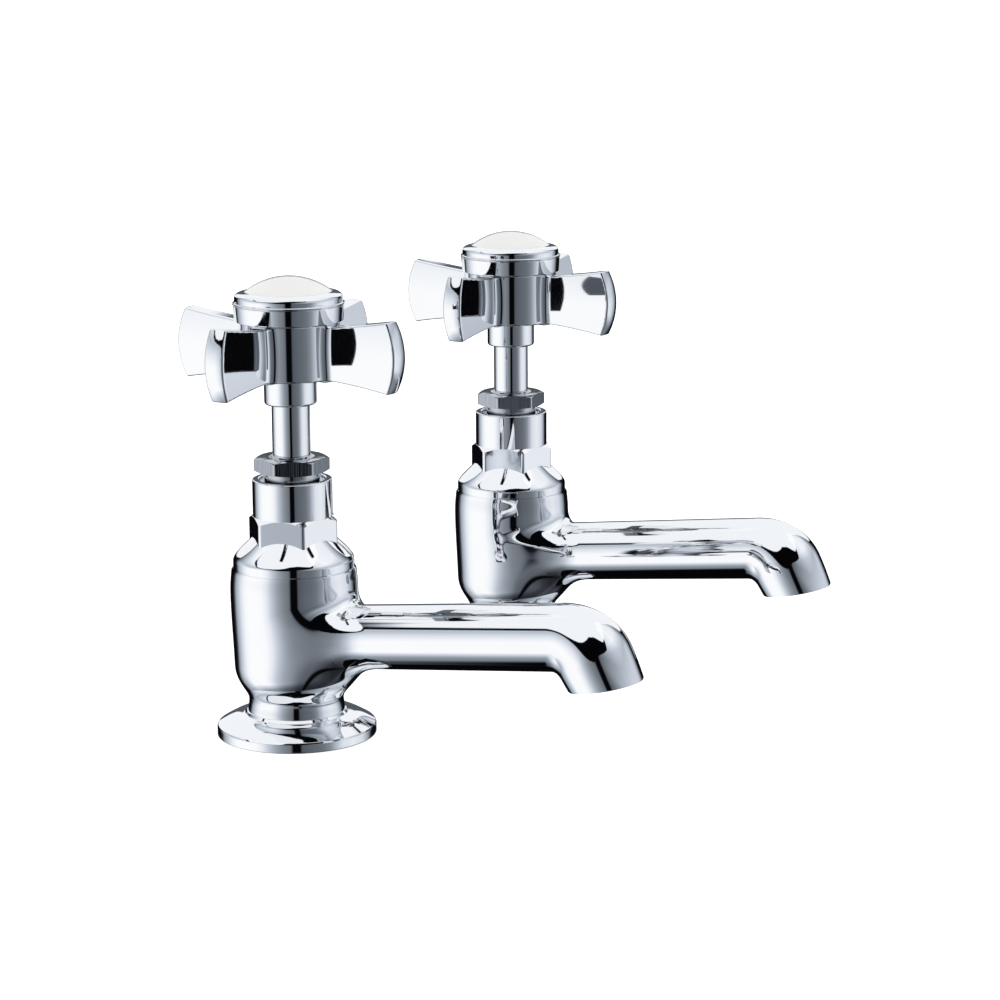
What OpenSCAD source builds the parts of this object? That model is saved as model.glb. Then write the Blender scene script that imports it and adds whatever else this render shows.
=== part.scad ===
// Pair of pillar taps with cross handles, one hot and one cold, in millimetres.
// +Z is up and the deck that the taps stand on is at z = 0. The origin lies midway
// between the two tap axes, the taps stand on the X axis and the spouts point along -Y.
// Threads are drawn as plain cylinders: a free thread at its outer radius, and a thread
// that is screwed home at its pitch radius, so that its two halves clear each other.

/* [Pair] */
// Distance between the two tap axes
tap_spacing = 136; // [90:1:220]

/* [Deck flange] */
// Outer radius of the flange
flange_r = 25; // [23:0.5:32]
// Height of the flange's upright edge
flange_edge_h = 2.5; // [1.5:0.1:4]
// Height of the flange where the body stands on it
flange_h = 7.2; // [6:0.1:12]
// Width of the bare rim that meets the deck
flange_rim_w = 4.5; // [2:0.5:6]
// Thickness of the rubber seal in the flange
seal_t = 2.5; // [1:0.1:3.5]
// Gap between the seal's bore and the body's shoulder
seal_bore_gap = 0.9; // [0.2:0.1:1.5]

/* [Body] */
// Radius of the body's foot
foot_r = 15.5; // [14.6:0.1:18]
// Radius of the neck at its narrowest
neck_r = 14.8; // [13.5:0.1:16]
// Height of the narrowest neck above the foot
neck_h = 4.6; // [3:0.1:7]
// Radius of the bowl just above its underside
bowl_low_r = 19.1; // [18:0.1:22]
// Height of that level above the foot
bowl_low_h = 14.8; // [12:0.1:17]
// Radius of the bowl at its widest
bowl_r = 20.1; // [19:0.1:24]
// Height of the widest level above the foot
bowl_wide_h = 38.8; // [34:0.1:42]
// Radius of the body's top rim
rim_r = 19.3; // [18:0.1:22]
// Height of the body from foot to top rim
body_h = 46.1; // [44:0.1:54]
// Radius of the valve chamber
chamber_r = 14.2; // [13:0.1:15]
// Height of the valve seat above the foot
seat_h = 17.8; // [16.5:0.1:20]
// Radius of the opening in the valve seat
seat_bore_r = 6; // [5:0.1:6.4]
// Outer radius of the seat's raised crown
seat_r = 8.6; // [8:0.1:9.5]
// Height of the seat's crown above the chamber floor
seat_crown_h = 3.2; // [2:0.1:4]
// Thickness of the chamber floor around the seat
floor_t = 2; // [1.5:0.1:3]

/* [Spout] */
// Height of the spout's centre line on the tap axis, above the foot
spout_h = 23.6; // [22:0.1:26]
// Angle at which the spout rises, in degrees
spout_rise = 7; // [0:0.5:10]
// Horizontal reach from the tap axis to the middle of the outlet
spout_reach = 110.7; // [80:0.1:150]
// Outer radius of the spout where it leaves the bowl
spout_root_r = 9.9; // [9:0.1:10.4]
// Outer radius of the spout at its bend
spout_bend_r = 10.6; // [9.5:0.1:10.8]
// Outer radius of the nozzle at the outlet
outlet_outer_r = 11.2; // [10.6:0.1:13]
// Radius of the bend's centre line
bend_r = 11.2; // [10.9:0.1:16]
// Angle of the nozzle from straight down, in degrees
nozzle_angle = 30; // [26:1:36]
// Length of the nozzle below the bend
nozzle_l = 8.4; // [7:0.1:16]
// Angle of the outlet's rim from level, in degrees
outlet_angle = 12; // [8:1:26]
// Radius of the swelling where the spout joins the bowl
root_swell_r = 15; // [12:0.1:15.5]
// Distance from the tap axis at which the swelling ends
root_swell_l = 36; // [30:1:44]
// Radius of the waterway through the spout
waterway_r = 6.4; // [5:0.1:7]
// Distance from the tap axis at which the waterway starts
waterway_from = 9; // [8.8:0.1:11]
// Radius of the opening in the nozzle
outlet_bore_r = 8; // [7.2:0.1:9]
// Depth of the opening in the nozzle
outlet_bore_l = 5; // [4:0.1:5]

/* [Tail and deck fixings] */
// Outer radius of the G1/2 thread
tail_thread_r = 10.48; // [10.4:0.02:10.6]
// Pitch radius of the G1/2 thread, where the backnut grips it
tail_pitch_r = 9.9; // [9.8:0.02:10]
// Radius of the plain shank through the deck
shank_r = 11; // [10.7:0.1:11.2]
// Radius of the shoulder that centres the flange
register_r = 11.5; // [11.3:0.1:12]
// Height of the shoulder's foot above the deck
register_z = 0.3; // [0.1:0.1:1]
// Bevel at the tail's lower end
tail_bevel = 1; // [0.5:0.1:1.5]
// Length of thread left free under the backnut before the full thread
run_out = 0.5; // [0.2:0.1:1]
// Thickness of the deck that the taps are clamped to
deck_t = 15; // [8:1:25]
// Length of the tail below the deck plane
tail_l = 50; // [45:1:65]
// Radius of the water inlet through the tail
inlet_r = 6.5; // [6.5:0.1:7]
// Outer radius of the washer under the deck
deck_washer_r = 17; // [15:0.5:20]
// Thickness of the washer under the deck
deck_washer_t = 2; // [1:0.5:4]
// Width of the backnut across its flats
backnut_af = 30; // [27:1:34]
// Thickness of the backnut
backnut_t = 6.5; // [5:0.5:10]

/* [Bonnet] */
// Radius of the threaded spigot that enters the body
spigot_r = 10; // [9.6:0.1:10.4]
// Length of the spigot below the body's top rim
spigot_l = 9.3; // [7:0.1:11]
// Radius of the bonnet's base ring
ring_r = 18.8; // [17:0.1:19.2]
// Height of the base ring
ring_h = 2.6; // [2:0.1:4]
// Height of the sloping skirt above the base ring
skirt_h = 5.4; // [4:0.1:7]
// Width of the bonnet's hexagon across its flats
bonnet_af = 25; // [25:0.1:26]
// Height of the hexagon
bonnet_hex_h = 8.6; // [7:0.1:10]
// Turn of the hexagon about the tap axis, in degrees
bonnet_hex_turn = 47; // [0:1:59]
// Width of the step between the skirt's top and the hexagon's flats
skirt_step = 0.6; // [0.2:0.1:1]
// Radius of the barrel above the hexagon
barrel_r = 12.4; // [11.8:0.1:12.4]
// Height of the barrel
barrel_h = 11.5; // [10:0.1:14]
// Radius of the recess in the barrel's top
recess_r = 10.3; // [9.6:0.1:10.8]
// Depth of that recess
recess_d = 2.5; // [1:0.1:4]
// Thickness of the fibre washer between bonnet and body
bonnet_washer_t = 1.2; // [0.8:0.1:2]
// Outer radius of that washer
bonnet_washer_r = 15.4; // [13:0.1:16]

/* [Gland] */
// Width of the gland nut across its flats
gland_af = 20.5; // [19:0.1:21]
// Height of the gland nut's hexagon
gland_hex_h = 4.7; // [3:0.1:6]
// Turn of the gland nut about the tap axis, in degrees
gland_hex_turn = 9; // [0:1:59]
// Bevel at the gland nut's corners
gland_bevel = 0.6; // [0.3:0.1:1.2]
// Pitch radius of the gland nut's thread
gland_thread_r = 8.5; // [7.8:0.1:9]
// Gap that shows between the barrel and the gland nut
gland_gap = 2.2; // [1.5:0.1:4]
// Height of the packing
packing_h = 4.5; // [3:0.1:5]
// Height of the brass ring on top of the packing
gland_ring_h = 1.5; // [1:0.1:2]
// Thickness of the ledge that carries the packing
ledge_t = 1.5; // [1:0.1:2]

/* [Valve] */
// Radius of the valve washer and of the disc above it
valve_r = 9.3; // [9:0.1:9.5]
// Thickness of the rubber valve washer
valve_washer_t = 4; // [3:0.1:5]
// Thickness of the jumper's disc
jumper_disc_t = 2.5; // [2:0.1:3]
// Radius of the jumper's stem inside the spindle
jumper_stem_r = 3; // [2.5:0.1:3.2]
// Length of the jumper's stem above its disc
jumper_stem_l = 12; // [8:0.5:14]
// Radius of the stud that holds the valve washer
jumper_stud_r = 2.2; // [1.8:0.1:2.5]
// Length of that stud below its nut
stud_tip = 0.3; // [0.1:0.1:1]
// Width of the small nut under the valve washer
jumper_nut_af = 7; // [6.5:0.1:8]
// Thickness of that nut
jumper_nut_t = 2.2; // [1.6:0.1:3]
// Height by which the valve lifts when the tap is fully open
valve_lift = 6.3; // [4:0.1:7]

/* [Spindle] */
// Radius of the spindle's foot below its thread
spindle_foot_r = 5.6; // [5:0.1:6]
// Pitch radius of the spindle's lifting thread
spindle_thread_r = 7; // [6.4:0.1:7.4]
// Length of the lifting thread
spindle_thread_l = 19; // [15:0.5:20]
// Height of the lifting thread's top above the body's rim
thread_rise = 6.9; // [5:0.1:8]
// Radius of the bright stem
stem_r = 5.9; // [5.4:0.1:6]
// Length of stem that shows between gland nut and handle
stem_show = 16.4; // [12:0.1:24]
// Width of the square that drives the handle
square_w = 7.6; // [7:0.1:7.8]
// Length of that square
square_l = 11; // [8:0.1:12]
// Gap between the spindle's top and the head of the handle screw
square_gap = 0.5; // [0.2:0.1:1]

/* [Handle] */
// Radius of the boss below the hub
boss_r = 8.1; // [7.4:0.05:9]
// Height of that boss
boss_h = 8.6; // [7:0.1:12]
// Radius of the rounding at the boss's foot
boss_round = 0.9; // [0.4:0.1:1.2]
// Radius of the hub
hub_r = 15.6; // [15:0.1:16]
// Height of the hub below its collar
hub_h = 17.4; // [17.4:0.1:20]
// Radius of the collar at its lower edge
collar_low_r = 16.2; // [16:0.1:17]
// Radius of the collar at its upper edge
collar_top_r = 17.1; // [16.6:0.1:18]
// Height of the collar
collar_h = 5; // [4:0.1:7]
// Distance from the tap axis to the tips of the arms
arm_reach = 40.3; // [34:0.1:46]
// Distance from the tap axis to the corners of the tips
arm_corner = 37.4; // [32:0.1:38]
// Thickness of each arm
arm_t = 6.8; // [4:0.1:8]
// Height of an arm where it leaves the hub
arm_root_h = 15.9; // [12:0.1:16]
// Height of an arm at its tip
arm_tip_h = 21.9; // [18:0.1:24]
// Height of the arm's lower tip corner below the hub
arm_drop = 2.6; // [1:0.1:4]
// Height by which an arm's root lies below the middle of the hub
arm_root_drop = 0.4; // [0:0.1:1]
// Radius of the hollow under the cap
hollow_r = 13; // [12.6:0.1:13.4]
// Thickness of the web at the bottom of the hollow
web_t = 7.5; // [6:0.1:9]
// Radius of the handle screw's head
screw_head_r = 6.2; // [5.8:0.1:7.5]
// Height of the handle screw's head
screw_head_h = 3; // [2:0.1:4]
// Radius of the handle screw's thread
screw_r = 2.4; // [2:0.1:2.5]
// Length of the handle screw's thread
screw_l = 12; // [8:0.5:13]
// Width of the slot in the handle screw's head
slot_w = 1.2; // [0.8:0.1:1.6]
// Depth of that slot
slot_d = 1.5; // [1:0.1:1.8]

/* [Cap and index] */
// Radius of the cap's lip
lip_r = 17.2; // [16.8:0.1:18]
// Height of the cap's lip
lip_h = 0.7; // [0.4:0.1:1.2]
// Radius of the cap above its lip
cap_r = 16.6; // [16.2:0.1:17]
// Height of the cap from lip to the edge around the index
cap_h = 3.9; // [3.2:0.1:5]
// Height of the rounded shoulder at the cap's top
cap_shoulder_h = 1.4; // [1:0.1:1.8]
// Radius of the porcelain index
index_r = 13.4; // [12.8:0.1:14]
// Depth of porcelain let into the cap
index_seat_d = 1.6; // [1:0.1:2]
// Height of the porcelain dome
index_dome_h = 4.7; // [3:0.1:6]
// Length of the cap's skirt inside the hub
skirt_in_l = 6.5; // [5:0.1:7]
// Thickness of the skirt's wall
skirt_in_t = 2.3; // [2:0.1:2.6]
// Radius of the o-ring's section
o_ring_r = 0.75; // [0.6:0.05:0.9]

/* [Clearances] */
// Radial clearance between pieces that stay put
slip = 0.05; // [0.02:0.01:0.1]
// Radial clearance between pieces that move
run = 0.08; // [0.05:0.01:0.1]
// Radial play of the washer on the tail's thread
washer_play = 0.2; // [0.1:0.05:0.5]
// Gap between a moving face and the face that stops it
stop_gap = 0.1; // [0.05:0.05:0.3]

/* [Hidden] */
$fn = 72;
// Overlap that joins two solids, and the length by which a cut runs past a face
eps = 0.01;
over = 1;
// Steps along a long curve and along a short one
long_steps = 8;
short_steps = 5;
// Small bevel on the edges of the flange, the base ring and the collar
edge = 0.3;
// Bevel between the hub's underside and its wall
hub_edge = 0.5;
// Depth by which the arms' roots are let into the hub
arm_bury = 2;
// Distance from the tap axis at which the swelling starts, inside the bowl
swell_from = 6;

// How far the controls of each curve stand off the curve's two ends, out and up
foot_pull = [-0.3, 1.4];
neck_under_pull = [0, -1.6];
neck_over_pull = [0, 1.8];
bowl_under_pull = [0, -5];
bowl_side_pull = [0.3, 8];
bowl_wide_pull = [0, -8];
shoulder_pull = [0, 3.5];
rim_pull = [0.4, -1];
flange_edge_pull = [-2, 1.6];
flange_top_pull = [3.3, -0.7];
skirt_low_pull = [-1.3, 1.9];
skirt_top_pull = [2.6, -1.4];
cap_side_pull = [0, 0.9];
cap_top_pull = [2.35, -0.3];

// Levels of the fixed pieces, from the deck up
body_top = flange_h + body_h;
seat_z = flange_h + seat_h;
chamber_floor = seat_z - seat_crown_h;
chamber_roof = body_top - spigot_l;
ring_top = body_top + ring_h;
hex_z = ring_top + skirt_h;
barrel_z = hex_z + bonnet_hex_h;
barrel_top = barrel_z + barrel_h;
gland_z = barrel_top + gland_gap;
gland_top = gland_z + gland_hex_h;

// Levels of the valve and of the lifting thread, with the tap closed
valve_z = seat_z + stop_gap;
jumper_z = valve_z + valve_washer_t;
jumper_top = jumper_z + jumper_disc_t;
spindle_z = jumper_top + stop_gap;
thread_top = body_top + thread_rise;
lift_stop = thread_top + valve_lift + 2 * stop_gap;
packing_z = lift_stop + ledge_t;
gland_ring_z = packing_z + packing_h;
gland_shank_z = gland_ring_z + gland_ring_h;

// Levels of the handle and of the cap
boss_z = gland_top + stem_show;
hub_z = boss_z + boss_h;
collar_z = hub_z + hub_h;
hub_top = collar_z + collar_h;
web_top = hub_z + web_t;
square_z = web_top - square_l;
cap_top = hub_top + cap_h;
index_z = cap_top - index_seat_d;

// Radii that follow from the parts they meet
seal_out_r = flange_r - flange_rim_w;
seal_in_r = register_r + seal_bore_gap;
skirt_r = hollow_r - slip;
skirt_bore_r = skirt_r - skirt_in_t;
recess_land_r = index_r + slip;

// Spout: straight run, then a bend about a point below it, then the nozzle. The bend is
// wider than the runs by a small step, and they reach into it, so that no seam is tangent.
bend_step = 0.1;
bend_lap = 1;
bend_turn = 90 + spout_rise - nozzle_angle;
tangent_l = bend_r * tan(bend_turn / 2);
corner_y = spout_reach - (tangent_l + nozzle_l) * sin(nozzle_angle);
spout_z = flange_h + spout_h;
straight_l = corner_y / cos(spout_rise) - tangent_l;
bend_y = straight_l * cos(spout_rise) + bend_r * sin(spout_rise);
bend_z = spout_z + straight_l * sin(spout_rise) - bend_r * cos(spout_rise);
outlet_z = bend_z + bend_r * sin(nozzle_angle) - nozzle_l * cos(nozzle_angle);
// The nozzle is drawn this much too long, and its rim is cut to its own angle
trim_l = outlet_outer_r * tan(nozzle_angle - outlet_angle) + over;

// Points along a cubic curve from a to b, with a control standing off each end
function curve(a, pull_a, b, pull_b, n) = [
    for (i = [0 : n]) let (t = i / n, s = 1 - t)
        s * s * s * a + 3 * s * s * t * (a + pull_a) + 3 * s * t * t * (b + pull_b) + t * t * t * b
];

// Points along an arc about centre, from angle a0 to angle a1
function arc(centre, r, a0, a1, n) = [
    for (i = [0 : n]) let (a = a0 + (a1 - a0) * i / n)
        centre + r * [cos(a), sin(a)]
];

// Radius of the arc through the middle of a chord's rise
function arc_radius(half_chord, rise) = (half_chord * half_chord + rise * rise) / (2 * rise);

module tube(r_out, r_in, h) {
    difference() {
        cylinder(r = r_out, h = h);
        translate([0, 0, -over]) cylinder(r = r_in, h = h + 2 * over);
    }
}

module hexagon(af, h) {
    cylinder(r = af / sqrt(3), h = h, $fn = 6);
}

// Lays its children's x axis along the spout's reach and their y axis upright
module spout_plane() {
    rotate([90, 0, -90]) children();
}

// A round run along the spout's straight line, between two distances from the tap axis
module spout_run(from, to, r1, r2) {
    spout_plane() translate([0, spout_z, 0]) rotate([0, 0, spout_rise])
        translate([from, 0, 0]) rotate([0, 90, 0]) cylinder(r1 = r1, r2 = r2, h = to - from);
}

module spout_bend(r) {
    spout_plane() translate([bend_y, bend_z, 0]) rotate([0, 0, nozzle_angle])
        rotate_extrude(angle = bend_turn) translate([bend_r, 0]) circle(r = r);
}

// A round run along the nozzle, between two distances below the bend
module nozzle_run(from, to, r1, r2) {
    spout_plane() translate([bend_y, bend_z, 0]) rotate([0, 0, nozzle_angle])
        translate([bend_r, -from, 0]) rotate([90, 0, 0]) cylinder(r1 = r1, r2 = r2, h = to - from);
}

// Stands its children on the outlet's middle, square to its rim, with z outwards
module at_outlet() {
    spout_plane() translate([spout_reach, outlet_z, 0]) rotate([0, 0, outlet_angle])
        rotate([90, 0, 0]) children();
}

// Outline of the body of revolution, from the foot up
function body_outline() =
    let (foot = [foot_r, flange_h], neck = [neck_r, flange_h + neck_h],
        low = [bowl_low_r, flange_h + bowl_low_h], wide = [bowl_r, flange_h + bowl_wide_h],
        rim = [rim_r, body_top])
    concat(
        [[0, flange_h]],
        curve(foot, foot_pull, neck, neck_under_pull, short_steps),
        curve(neck, neck_over_pull, low, bowl_under_pull, long_steps),
        curve(low, bowl_side_pull, wide, bowl_wide_pull, short_steps),
        curve(wide, shoulder_pull, rim, rim_pull, short_steps),
        [[0, body_top]]
    );

module tail() {
    grip_z = -deck_t - deck_washer_t - backnut_t - run_out;
    translate([0, 0, register_z]) cylinder(r = register_r, h = flange_h);
    translate([0, 0, -deck_t]) cylinder(r = shank_r, h = deck_t + register_z);
    translate([0, 0, grip_z]) cylinder(r = tail_pitch_r, h = -grip_z);
    translate([0, 0, tail_bevel - tail_l])
        cylinder(r = tail_thread_r, h = tail_l - tail_bevel + grip_z);
    translate([0, 0, -tail_l])
        cylinder(r1 = tail_thread_r - tail_bevel, r2 = tail_thread_r, h = tail_bevel);
}

module tap_body() {
    color("silver") difference() {
        union() {
            rotate_extrude() polygon(body_outline());
            tail();
            spout_run(0, straight_l + bend_lap, spout_root_r, spout_bend_r - bend_step);
            spout_run(swell_from, root_swell_l, root_swell_r, spout_root_r);
            spout_bend(spout_bend_r);
            nozzle_run(-bend_lap, nozzle_l + trim_l, spout_bend_r - bend_step, outlet_outer_r);
        }
        at_outlet() cylinder(r = 2 * outlet_outer_r, h = 2 * trim_l + over);
        translate([0, 0, -tail_l - over])
            cylinder(r = inlet_r, h = tail_l + over + chamber_floor - floor_t);
        translate([0, 0, flange_h]) cylinder(r = seat_bore_r, h = seat_h + over);
        difference() {
            translate([0, 0, chamber_floor])
                cylinder(r = chamber_r, h = chamber_roof - chamber_floor);
            translate([0, 0, chamber_floor - over])
                cylinder(r = seat_r, h = seat_crown_h + over);
        }
        translate([0, 0, chamber_roof - over])
            cylinder(r = spigot_r + slip, h = spigot_l + 2 * over);
        translate([0, 0, body_top - bonnet_washer_t])
            cylinder(r = bonnet_washer_r + slip, h = bonnet_washer_t + over);
        spout_run(waterway_from, straight_l + bend_lap, waterway_r, waterway_r);
        spout_bend(waterway_r + bend_step);
        nozzle_run(-bend_lap, nozzle_l, waterway_r, waterway_r);
        at_outlet() translate([0, 0, -outlet_bore_l])
            cylinder(r = outlet_bore_r, h = outlet_bore_l + over);
    }
}

module base_flange() {
    outline = concat(
        [[seal_out_r, 0], [flange_r - edge, 0], [flange_r, edge]],
        curve([flange_r, flange_edge_h], flange_edge_pull, [foot_r, flange_h], flange_top_pull,
            long_steps),
        [[register_r + slip, flange_h], [register_r + slip, seal_t], [seal_out_r, seal_t]]
    );
    color("silver") rotate_extrude() polygon(outline);
}

module base_seal() {
    color("dimgray") translate([0, 0, slip]) tube(seal_out_r - slip, seal_in_r, seal_t - slip);
}

module deck_washer() {
    color("whitesmoke") translate([0, 0, -deck_t - deck_washer_t])
        tube(deck_washer_r, tail_thread_r + washer_play, deck_washer_t);
}

module backnut() {
    color("goldenrod") translate([0, 0, -deck_t - deck_washer_t - backnut_t]) difference() {
        hexagon(backnut_af, backnut_t);
        translate([0, 0, -over]) cylinder(r = tail_pitch_r + slip, h = backnut_t + 2 * over);
    }
}

// A cone that bevels the top corners of a hexagon whose flats are af apart
module corner_cone(af, bevel, h) {
    top_r = af / sqrt(3) - bevel;
    cylinder(r1 = top_r + h, r2 = top_r, h = h);
}

module bonnet() {
    hex_h = bonnet_hex_h + over;
    skirt = concat(
        [[0, body_top], [ring_r, body_top], [ring_r, ring_top - edge]],
        curve([ring_r - edge, ring_top], skirt_low_pull, [bonnet_af / 2 + skirt_step, hex_z],
            skirt_top_pull, short_steps),
        [[0, hex_z]]
    );
    color("silver") difference() {
        union() {
            translate([0, 0, chamber_roof]) cylinder(r = spigot_r, h = spigot_l);
            rotate_extrude() polygon(skirt);
            translate([0, 0, hex_z - over]) intersection() {
                rotate([0, 0, bonnet_hex_turn]) hexagon(bonnet_af, hex_h);
                corner_cone(bonnet_af, bonnet_af * (1 / sqrt(3) - 1 / 2), hex_h);
            }
            translate([0, 0, hex_z]) cylinder(r = barrel_r, h = bonnet_hex_h + barrel_h);
        }
        translate([0, 0, chamber_roof - over])
            cylinder(r = spindle_thread_r + run, h = lift_stop - chamber_roof + over);
        translate([0, 0, chamber_roof]) cylinder(r = stem_r + run, h = barrel_top - chamber_roof);
        translate([0, 0, packing_z]) cylinder(r = gland_thread_r + slip, h = barrel_top - packing_z);
        translate([0, 0, barrel_top - recess_d]) cylinder(r = recess_r, h = recess_d + over);
    }
}

module bonnet_washer() {
    color("sienna") translate([0, 0, body_top - bonnet_washer_t])
        tube(bonnet_washer_r, spigot_r + slip, bonnet_washer_t);
}

module gland_packing() {
    color("dimgray") translate([0, 0, packing_z]) tube(gland_thread_r, stem_r + run, packing_h);
}

module gland_ring() {
    color("goldenrod") translate([0, 0, gland_ring_z])
        tube(gland_thread_r, stem_r + run, gland_ring_h);
}

module gland_nut() {
    shank_h = gland_top - gland_shank_z;
    color("lightgray") difference() {
        union() {
            translate([0, 0, gland_shank_z]) cylinder(r = gland_thread_r, h = shank_h);
            translate([0, 0, gland_z]) intersection() {
                rotate([0, 0, gland_hex_turn]) hexagon(gland_af, gland_hex_h);
                corner_cone(gland_af, gland_bevel, gland_hex_h);
            }
        }
        translate([0, 0, gland_shank_z - over]) cylinder(r = stem_r + run, h = shank_h + 2 * over);
    }
}

module jumper() {
    stud_z = valve_z - jumper_nut_t - stud_tip;
    color("goldenrod") {
        translate([0, 0, jumper_z]) cylinder(r = valve_r, h = jumper_disc_t);
        translate([0, 0, jumper_top - eps]) cylinder(r = jumper_stem_r, h = jumper_stem_l + eps);
        translate([0, 0, stud_z]) cylinder(r = jumper_stud_r, h = jumper_z - stud_z + eps);
    }
}

module valve_washer() {
    color("dimgray") translate([0, 0, valve_z]) tube(valve_r, jumper_stud_r + slip, valve_washer_t);
}

module jumper_nut() {
    color("goldenrod") translate([0, 0, valve_z - jumper_nut_t]) difference() {
        hexagon(jumper_nut_af, jumper_nut_t);
        translate([0, 0, -over]) cylinder(r = jumper_stud_r + slip, h = jumper_nut_t + 2 * over);
    }
}

module spindle() {
    square_top = web_top - square_gap;
    color("silver") difference() {
        union() {
            translate([0, 0, spindle_z]) cylinder(r = spindle_foot_r, h = thread_top - spindle_z);
            translate([0, 0, thread_top - spindle_thread_l])
                cylinder(r = spindle_thread_r, h = spindle_thread_l);
            translate([0, 0, thread_top - over]) cylinder(r = stem_r, h = square_z - thread_top + over);
            translate([-square_w / 2, -square_w / 2, square_z - over])
                cube([square_w, square_w, square_top - square_z + over]);
        }
        translate([0, 0, spindle_z - over])
            cylinder(r = jumper_stem_r + run, h = jumper_stem_l + 2 * over);
        translate([0, 0, square_top - screw_l - over])
            cylinder(r = screw_r + slip, h = screw_l + 2 * over);
    }
}

// One arm of the cross, along +X
module arm() {
    root_z = hub_z + (hub_h - arm_root_h) / 2 - arm_root_drop;
    tip_mid = hub_z - arm_drop + arm_tip_h / 2;
    tip_r = arc_radius(arm_tip_h / 2, arm_reach - arm_corner);
    half = asin(arm_tip_h / 2 / tip_r);
    outline = concat(
        [[hub_r - arm_bury, root_z]],
        arc([arm_reach - tip_r, tip_mid], tip_r, -half, half, long_steps),
        [[hub_r - arm_bury, root_z + arm_root_h]]
    );
    rotate([90, 0, 0]) translate([0, 0, -arm_t / 2]) linear_extrude(arm_t) polygon(outline);
}

module cross_handle() {
    outline = concat(
        [[0, boss_z]],
        arc([boss_r - boss_round, boss_z + boss_round], boss_round, -90, 0, short_steps),
        [[boss_r, hub_z], [hub_r - hub_edge, hub_z], [hub_r, hub_z + hub_edge], [hub_r, collar_z],
            [collar_low_r, collar_z], [collar_top_r, hub_top - edge], [collar_top_r - edge, hub_top],
            [0, hub_top]]
    );
    color("silver") difference() {
        union() {
            rotate_extrude() polygon(outline);
            for (a = [0 : 90 : 270]) rotate([0, 0, a]) arm();
        }
        translate([0, 0, web_top]) cylinder(r = hollow_r, h = hub_top - web_top + over);
        translate([0, 0, boss_z - over]) cylinder(r = stem_r + slip, h = square_z - boss_z + over);
        translate([-square_w / 2 - slip, -square_w / 2 - slip, square_z - over])
            cube([square_w + 2 * slip, square_w + 2 * slip, web_top - square_z + 2 * over]);
    }
}

module handle_screw() {
    thread_l = screw_l + square_gap;
    color("silver") difference() {
        union() {
            translate([0, 0, web_top]) cylinder(r = screw_head_r, h = screw_head_h);
            translate([0, 0, web_top - thread_l]) cylinder(r = screw_r, h = thread_l + eps);
        }
        translate([-screw_head_r - over, -slot_w / 2, web_top + screw_head_h - slot_d])
            cube([2 * (screw_head_r + over), slot_w, slot_d + over]);
    }
}

module cap() {
    groove_z = hub_top - skirt_in_l / 2;
    groove_h = 2 * (o_ring_r + slip);
    shoulder_z = cap_top - cap_shoulder_h;
    outline = concat(
        [[skirt_bore_r, hub_top - skirt_in_l], [skirt_r, hub_top - skirt_in_l], [skirt_r, hub_top],
            [lip_r, hub_top], [lip_r, hub_top + lip_h], [cap_r, hub_top + lip_h]],
        curve([cap_r, shoulder_z], cap_side_pull, [recess_land_r, cap_top], cap_top_pull,
            short_steps),
        [[recess_land_r, index_z], [skirt_bore_r, index_z]]
    );
    color("silver") difference() {
        rotate_extrude() polygon(outline);
        translate([0, 0, groove_z - groove_h / 2])
            tube(skirt_r + over, hollow_r - 2 * o_ring_r - slip, groove_h);
    }
}

module cap_o_ring() {
    color("dimgray") translate([0, 0, hub_top - skirt_in_l / 2])
        rotate_extrude() translate([hollow_r - o_ring_r, 0]) circle(r = o_ring_r);
}

module index() {
    dome_r = arc_radius(index_r, index_dome_h);
    half = asin(index_r / dome_r);
    outline = concat(
        [[0, index_z], [index_r, index_z]],
        arc([0, cap_top + index_dome_h - dome_r], dome_r, 90 - half, 90, long_steps)
    );
    color("ivory") rotate_extrude() polygon(outline);
}

module at_tap(side) {
    translate([side * tap_spacing / 2, 0, 0]) children();
}

at_tap(-1) tap_body();  // hot_body
at_tap(-1) base_flange();  // hot_base_flange
at_tap(-1) base_seal();  // hot_base_seal
at_tap(-1) deck_washer();  // hot_deck_washer
at_tap(-1) backnut();  // hot_backnut
at_tap(-1) bonnet();  // hot_bonnet
at_tap(-1) bonnet_washer();  // hot_bonnet_washer
at_tap(-1) gland_packing();  // hot_gland_packing
at_tap(-1) gland_ring();  // hot_gland_ring
at_tap(-1) gland_nut();  // hot_gland_nut
at_tap(-1) jumper();  // hot_jumper
at_tap(-1) valve_washer();  // hot_valve_washer
at_tap(-1) jumper_nut();  // hot_jumper_nut
at_tap(-1) spindle();  // hot_spindle
at_tap(-1) cross_handle();  // hot_cross_handle
at_tap(-1) handle_screw();  // hot_handle_screw
at_tap(-1) cap();  // hot_cap
at_tap(-1) cap_o_ring();  // hot_cap_o_ring
at_tap(-1) index();  // hot_index
at_tap(1) tap_body();  // cold_body
at_tap(1) base_flange();  // cold_base_flange
at_tap(1) base_seal();  // cold_base_seal
at_tap(1) deck_washer();  // cold_deck_washer
at_tap(1) backnut();  // cold_backnut
at_tap(1) bonnet();  // cold_bonnet
at_tap(1) bonnet_washer();  // cold_bonnet_washer
at_tap(1) gland_packing();  // cold_gland_packing
at_tap(1) gland_ring();  // cold_gland_ring
at_tap(1) gland_nut();  // cold_gland_nut
at_tap(1) jumper();  // cold_jumper
at_tap(1) valve_washer();  // cold_valve_washer
at_tap(1) jumper_nut();  // cold_jumper_nut
at_tap(1) spindle();  // cold_spindle
at_tap(1) cross_handle();  // cold_cross_handle
at_tap(1) handle_screw();  // cold_handle_screw
at_tap(1) cap();  // cold_cap
at_tap(1) cap_o_ring();  // cold_cap_o_ring
at_tap(1) index();  // cold_index
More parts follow.
